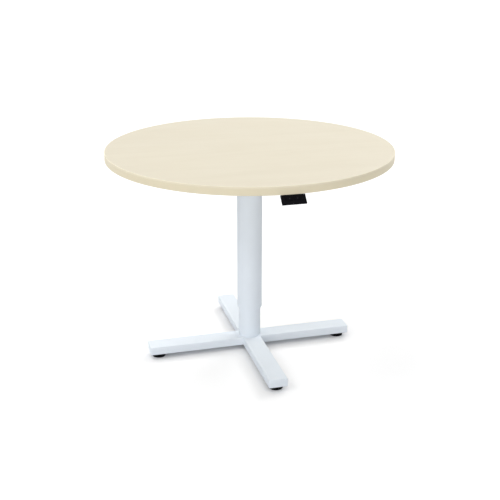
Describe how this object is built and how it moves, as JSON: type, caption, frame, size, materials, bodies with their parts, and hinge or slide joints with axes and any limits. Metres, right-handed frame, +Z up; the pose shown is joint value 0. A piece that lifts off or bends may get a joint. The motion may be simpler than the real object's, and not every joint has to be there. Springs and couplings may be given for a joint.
{
  "type": "height-adjustable conference table",
  "caption": "Round laminate table on a motor-driven telescopic column with a cross base, levelling feet and a push-button panel under the front edge.",
  "frame": {"origin": "on the floor under the column's axis", "axes": "+Z up along the column, -Y to the front where the panel is, +X to the right of someone in front"},
  "size_m": [1, 1.021, 0.758],
  "materials": {
    "laminate": "satin pale maple laminate on chipboard",
    "maple_edge": "satin pale maple edge band",
    "white_coat": "white powder coat on steel",
    "black_plastic": "fine-grained black moulding",
    "grey_plastic": "plain slide plastic",
    "nut_plastic": "natural nut plastic",
    "plain_steel": "bare machined steel",
    "zinc_steel": "zinc-plated steel",
    "cast_aluminium": "die-cast, as cast",
    "bronze": "machined bronze",
    "circuit_board": "varnished circuit board"
  },
  "bodies": {
    "base": {"base_long_bar": "white_coat", "base_front_arm": "white_coat", "base_back_arm": "white_coat", "end_plate_left": "white_coat", "end_plate_right": "white_coat", "end_plate_front": "white_coat", "end_plate_back": "white_coat", "glide_nut_left": "zinc_steel", "glide_nut_right": "zinc_steel", "glide_nut_front": "zinc_steel", "glide_nut_back": "zinc_steel", "foot_plate": "plain_steel", "foot_bolt_front_left": "zinc_steel", "foot_bolt_back_left": "zinc_steel", "foot_bolt_front_right": "zinc_steel", "foot_bolt_back_right": "zinc_steel", "bolt_sleeve_front_left": "plain_steel", "bolt_sleeve_back_left": "plain_steel", "bolt_sleeve_front_right": "plain_steel", "bolt_sleeve_back_right": "plain_steel", "lower_tube": "white_coat", "upper_guide_bush": "grey_plastic", "nut_carrier": "plain_steel", "spindle_nut": "nut_plastic"},
    "column_top": {"upper_tube": "white_coat", "lower_guide_ring": "grey_plastic", "bearing_outer_ring": "plain_steel", "gear_housing": "cast_aluminium", "gear_cover": "cast_aluminium", "motor_can": "zinc_steel", "motor_cap": "black_plastic", "head_plate": "white_coat", "frame_long_bar": "white_coat", "frame_front_arm": "white_coat", "frame_back_arm": "white_coat", "tabletop": "laminate", "edge_band": "maple_edge", "control_box_shell": "black_plastic", "control_box_plate": "zinc_steel", "control_board": "circuit_board", "mains_inlet": "black_plastic", "panel_shell": "black_plastic", "panel_plate": "zinc_steel", "panel_board": "circuit_board"},
    "spindle": {"spindle": "plain_steel", "bearing_inner_ring": "plain_steel", "worm_wheel": "bronze"},
    "worm": {"worm_shaft": "plain_steel"},
    "button_up": {"button_up": "black_plastic"},
    "button_down": {"button_down": "black_plastic"},
    "glide_left": {"glide_pad_left": "black_plastic", "glide_stud_left": "zinc_steel"},
    "glide_right": {"glide_pad_right": "black_plastic", "glide_stud_right": "zinc_steel"},
    "glide_front": {"glide_pad_front": "black_plastic", "glide_stud_front": "zinc_steel"},
    "glide_back": {"glide_pad_back": "black_plastic", "glide_stud_back": "zinc_steel"}
  },
  "joints": [
    {"name": "column_lift", "type": "slide", "parent": "base", "child": "column_top", "axis": [0, 0, 1], "range_m": [-0.108, 0.282]},
    {"name": "spindle_spin", "type": "hinge", "parent": "column_top", "child": "spindle", "pos_m": [0, 0, 0.6558], "axis": [0, 0, 1], "range_deg": [-2430.5, 6345.5]},
    {"name": "worm_spin", "type": "hinge", "parent": "column_top", "child": "worm", "pos_m": [0, 0.0272, 0.6801], "axis": [1, 0, 0], "range_deg": [-58321, 152281]},
    {"name": "button_up_press", "type": "slide", "parent": "column_top", "child": "button_up", "axis": [0, 0.7071, -0.7071], "range_m": [0, 0.0012], "stiffness_N_per_m": 800, "springref_m": -0.001},
    {"name": "button_down_press", "type": "slide", "parent": "column_top", "child": "button_down", "axis": [0, 0.7071, -0.7071], "range_m": [0, 0.0012], "stiffness_N_per_m": 800, "springref_m": -0.001},
    {"name": "glide_left_screw", "type": "slide", "parent": "base", "child": "glide_left", "axis": [0, 0, -1], "range_m": [0, 0.01]},
    {"name": "glide_right_screw", "type": "slide", "parent": "base", "child": "glide_right", "axis": [0, 0, -1], "range_m": [0, 0.01]},
    {"name": "glide_front_screw", "type": "slide", "parent": "base", "child": "glide_front", "axis": [0, 0, -1], "range_m": [0, 0.01]},
    {"name": "glide_back_screw", "type": "slide", "parent": "base", "child": "glide_back", "axis": [0, 0, -1], "range_m": [0, 0.01]}
  ],
  "couplings": [
    {"joint": "spindle_spin", "follows": "column_lift", "rad_per_m": 392.7},
    {"joint": "worm_spin", "follows": "column_lift", "rad_per_m": 9424.8}
  ]
}
